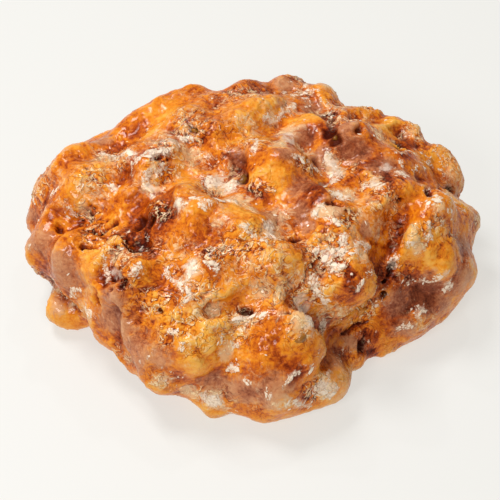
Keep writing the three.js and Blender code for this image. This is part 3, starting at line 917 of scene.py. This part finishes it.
# sugar grain, for crust and glaze alike: a fine noise and a coarser, bent one, both from 0 to 1
def sugarGrain():
    group = bpy.data.node_groups.get("sugar grain")
    if group:
        return group
    group = bpy.data.node_groups.new("sugar grain", "ShaderNodeTree")
    group.interface.new_socket("Place", in_out="INPUT", socket_type="NodeSocketVector")
    group.interface.new_socket("Grain", in_out="OUTPUT", socket_type="NodeSocketFloat")
    group.interface.new_socket("Fleck", in_out="OUTPUT", socket_type="NodeSocketFloat")
    nodes = Nodes(group)
    place = group.nodes.new("NodeGroupInput").outputs["Place"]
    out = group.nodes.new("NodeGroupOutput")
    group.links.new(nodes.noise(place, *sugarLook["grain"]).outputs[0], out.inputs["Grain"])
    group.links.new(nodes.noise(place, *sugarLook["fleck"]).outputs[0], out.inputs["Fleck"])
    return group


# the crust's colours, from scorched to golden, and those of the glaze on it
crustLook = {
    "tones": [(0.0, "#3A0C02"), (0.2, "#782603"), (0.38, "#B04A07"), (0.54, "#D6700C"),
              (0.72, "#EA8D1D"), (1.0, "#F4B048")],
    "film": [(0.0, "#4A190C"), (0.3, "#874528"), (0.55, "#B87752"), (1.0, "#DAA67E")],
    "hazeAndSheen": "#EEC493",
    "poolAndSheen": "#F0D9C4",
    "cream": "#FFE0AE",
    "frost": "#F8E1C7",
    "pitShade": "#461002",
    "mottle": (330.0, 5.0, 0.6, 0.8),            # noises: scale, detail, roughness, distortion
    "cracks": (320.0, 3.0, 0.5, 1.2),
    "veil": (210.0, 5.0, 0.65, 2.5),
    "ripple": (420.0, 1.5, 0.4, 0.0),
    "crumbs": 760.0,                             # their scale, and how far the cracks' noise bends them
    "crumbBend": 0.003,
    # crumb: a random tone for each crumb, darker towards its rim; crack and gap: painted shade in thin
    # cracks and between crumbs
    "toneSwing": {"mottle": 0.4, "grain": 0.6, "crumb": 0.22, "crackShade": -0.28, "gap": -0.22},
    "filmLayer": (1.8, 0.0, 0.1, 0.9, 0.85),     # veil and fleck in its edge, start, full, share
    "hazeAndSheenLayer": (2.4, 0.8, 0.22, 1.1, 0.7),
    "poolAndSheenLayer": (2.0, 0.9, 0.3, 1.1, 0.7),
    "shares": {"cream": 0.88, "powder": 0.4, "chip": 0.92, "pitShade": 0.75},
    "relief": {"crumb": 0.35, "plate": 0.45, "raised": 0.2, "ripple": 0.6},
    "coat": 0.42,
}


# colour: ramp of the tone, then film, haze and pools (partly painted sheen), cream squiggles, frost and the
# painted shade of pits, each over the last
def crustMaterial():
    material, nodes = newMaterial("glazed crust")
    look, shares = crustLook, crustLook["shares"]
    place = nodes.add("TexCoord").outputs["Object"]
    mottle, veil, ripple = (
        nodes.noise(place, *look[name]).outputs[0] for name in ("mottle", "veil", "ripple"))
    crackNoise = nodes.noise(place, *look["cracks"])
    cracks = crackNoise.outputs[0]
    sugar = nodes.add("Group", {"Place": place}, node_tree=sugarGrain())
    grain, fleck = sugar.outputs["Grain"], sugar.outputs["Fleck"]
    bent = nodes.add("VectorMath", {0: crackNoise.outputs["Color"], 1: (look["crumbBend"],) * 3, 2: place},
                     operation="MULTIPLY_ADD").outputs[0]
    crumbs = nodes.add("TexVoronoi", {"Vector": bent, "Scale": look["crumbs"]})
    rims = nodes.add("TexVoronoi", {"Vector": bent, "Scale": look["crumbs"]}, feature="DISTANCE_TO_EDGE")
    rims = rims.outputs["Distance"]
    crumbNumbers = nodes.add("SeparateColor", {0: crumbs.outputs["Color"]}).outputs
    tone, film, hazeAndSheen, poolAndSheen, white, craggy, pitShade = (
        nodes.attribute(name) for name in ("tone", "film", "hazeAndSheen", "poolAndSheen", "white", "craggy", "pitShade"))
    mottleSwing, grainSwing, fleckSwing, veilSwing = (
        nodes.math("SUBTRACT", noise, 0.5) for noise in (mottle, grain, fleck, veil))

    # tone: the crust's own + noises + crumbs - thin cracks - gaps between crumbs; the cracks, the gaps and
    # the crumbs' darker rims are painted shade
    crumb = nodes.times(nodes.math("SUBTRACT", crumbNumbers[0], crumbs.outputs["Distance"]), craggy)
    crackShade = nodes.times(nodes.near(cracks, 0.485, 0.0, 0.04), nodes.between(craggy, -0.3, 0.6))
    gap = nodes.math("SUBTRACT", 1.0, nodes.between(rims, 0.02, 0.14))
    gap = nodes.times(nodes.times(gap, craggy), nodes.between(mottle, 0.42, 0.6))
    swings = {"mottle": mottleSwing, "grain": grainSwing, "crumb": crumb, "crackShade": crackShade, "gap": gap}
    for name, swing in swings.items():
        tone = nodes.plus(tone, swing, look["toneSwing"][name])
    base = nodes.ramp(tone, look["tones"])

    # thin glaze: its mark + veil and fleck noise, eased from start to full
    # haze and pools also carry painted sheen
    layers = [("film", film, nodes.ramp(tone, look["film"])), ("hazeAndSheen", hazeAndSheen, colour(look["hazeAndSheen"])),
              ("poolAndSheen", poolAndSheen, colour(look["poolAndSheen"]))]
    for name, mark, glaze in layers:
        veilPart, fleckPart, start, full, share = look[name + "Layer"]
        edge = nodes.plus(nodes.plus(mark, veilSwing, veilPart), fleckSwing, fleckPart)
        base = nodes.mix(nodes.times(nodes.between(edge, start, full), share), base, glaze)

    # set glaze: squiggles beside the cracks, then powder and crumb-sized chips along the white lines
    squiggle = nodes.near(cracks, 0.55, 0.012, 0.045)
    squiggle = nodes.times(squiggle, nodes.between(nodes.math("ADD", hazeAndSheen, craggy), 0.15, 0.9))
    squiggle = nodes.times(squiggle, nodes.between(fleck, 0.42, 0.5))
    base = nodes.mix(nodes.times(squiggle, shares["cream"]), base, colour(look["cream"]))
    frostEdge = nodes.plus(white, fleckSwing, 2.6)
    powder = nodes.times(nodes.between(frostEdge, 0.5, 0.95), shares["powder"])
    density = nodes.plus(frostEdge, hazeAndSheen, 0.12)
    chip = nodes.between(nodes.math("SUBTRACT", density, crumbNumbers[2]), 0.06, 0.2)
    chip = nodes.times(chip, nodes.between(nodes.plus(rims, grainSwing, 0.5), 0.04, 0.1))
    chip = nodes.times(chip, nodes.between(white, 0.02, 0.25))
    frost = nodes.math("MAXIMUM", powder, nodes.times(chip, shares["chip"]))
    base = nodes.mix(frost, base, colour(look["frost"]))
    # pits and creases: a near-black brown, painted shade over their real dents
    hole = nodes.between(nodes.plus(pitShade, mottleSwing, 0.9), 0.3, 0.95)
    base = nodes.mix(nodes.times(hole, shares["pitShade"]), base, colour(look["pitShade"]))

    # relief: crumbs + plates between cracks + set glaze + ripples, under a clear coat that only ripples
    plate = nodes.times(nodes.between(cracks, 0.46, 0.54), nodes.between(craggy, -0.3, 0.7))
    raised = nodes.math("MAXIMUM", frost, nodes.times(squiggle, 0.6))
    height = nodes.times(crumb, look["relief"]["crumb"])
    for name, part in (("plate", plate), ("raised", raised), ("ripple", ripple)):
        height = nodes.plus(height, part, look["relief"][name])
    coat = nodes.math("SUBTRACT", 1.0, nodes.math("MAXIMUM", frost, hole))
    coat = nodes.times(nodes.times(coat, look["coat"]), nodes.between(tone, -0.1, 0.5))
    nodes.surface({
        "Base Color": base, "Roughness": 0.4, "Specular IOR Level": 0.05,
        "Normal": nodes.bump(height, 0.8, 0.001),
        "Coat Weight": coat, "Coat Roughness": 0.09, "Coat Normal": nodes.bump(ripple, 0.5, 0.001),
    })
    return material


flakeLook = {
    "glaze": "#F5E1C8",
    "shade": "#D79A5C",
}


# glaze, shaded where its flecks are high
def flakeMaterial():
    material, nodes = newMaterial("set glaze")
    place = nodes.add("TexCoord").outputs["Object"]
    sugar = nodes.add("Group", {"Place": place}, node_tree=sugarGrain())
    shade = nodes.between(sugar.outputs["Fleck"], 0.5, 0.75)
    base = nodes.mix(shade, colour(flakeLook["glaze"]), colour(flakeLook["shade"]))
    nodes.surface({"Base Color": base, "Roughness": 0.35,
                   "Normal": nodes.bump(sugar.outputs["Grain"], 0.5, 0.0006)})
    return material


fruitLook = {
    "tints": [(0.0, "#4A210A"), (0.35, "#80500F"), (0.7, "#B5701C"), (1.0, "#E0923A")],
    "blot": (500.0, 3.0, 0.5, 0.0),              # noise: scale, detail, roughness, distortion
    "blotting": 0.8,
}


# ramp of each bit's own tint + blotting x noise
def fruitMaterial():
    material, nodes = newMaterial("cooked fruit")
    place = nodes.add("TexCoord").outputs["Object"]
    blot = nodes.noise(place, *fruitLook["blot"]).outputs[0]
    tint = nodes.plus(nodes.attribute("tint"), nodes.math("SUBTRACT", blot, 0.5), fruitLook["blotting"])
    nodes.surface({"Base Color": nodes.ramp(tint, fruitLook["tints"]), "Roughness": 0.2,
                   "Normal": nodes.bump(blot, 0.5, 0.001)})
    return material


# floor and light: a pale floor that glows a little, so its shadows stay pale, and lamps over it
studio = {
    "floor": "#898886",
    "glow": "#CBCAC5",
    "floorSize": 6.0,
    "sky": 0.34,
    "lampAim": (0, 0, 0.02),
    "lamps": [                                   # place, width, power
        ((-0.26, 0.20, 0.70), 0.26, 3.15),
        ((-0.30, -0.50, 0.50), 0.26, 2.3),
        ((-0.28, 0.34, 0.56), 0.04, 0.38),
        ((0.12, 0.34, 0.62), 0.04, 0.30),
    ],
}


# a square floor, an even white sky and round lamps turned towards the fritter
def makeStudio():
    half = studio["floorSize"] / 2
    corners = np.array([(-half, -half, 0), (half, -half, 0), (half, half, 0), (-half, half, 0)])
    floor = makeMesh("floor", corners / mm, [[0, 1, 2, 3]], {})
    material, nodes = newMaterial("pale floor")
    nodes.surface({"Base Color": colour(studio["floor"]), "Roughness": 0.6,
                   "Emission Color": colour(studio["glow"]), "Emission Strength": 1.0})
    floor.data.materials.append(material)
    world = bpy.data.worlds.new("studio")
    world.use_nodes = True
    background = world.node_tree.nodes["Background"]
    background.inputs["Color"].default_value = (1, 1, 1, 1)
    background.inputs["Strength"].default_value = studio["sky"]
    bpy.context.scene.world = world
    for place, width, power in studio["lamps"]:
        data = bpy.data.lights.new("lamp", "AREA")
        data.shape = "DISK"
        data.size = width
        data.energy = power
        lamp = bpy.data.objects.new("lamp", data)
        lamp.location = place
        lamp.rotation_euler = (Vector(studio["lampAim"]) - Vector(place)).to_track_quat("-Z", "Y").to_euler()
        bpy.context.scene.collection.objects.link(lamp)
    bpy.context.scene.view_settings.view_transform = "Standard"


makeCamera()
print("camera placed")
made = makeFritter()
made["piece"].data.materials.append(crustMaterial())
print("fritter made")
normals = smoothNormals(made)
makeFlakes(made, normals).data.materials.append(flakeMaterial())
makeFruit(made, normals).data.materials.append(fruitMaterial())
print("flakes and fruit laid on")
makeStudio()
print("studio lit")
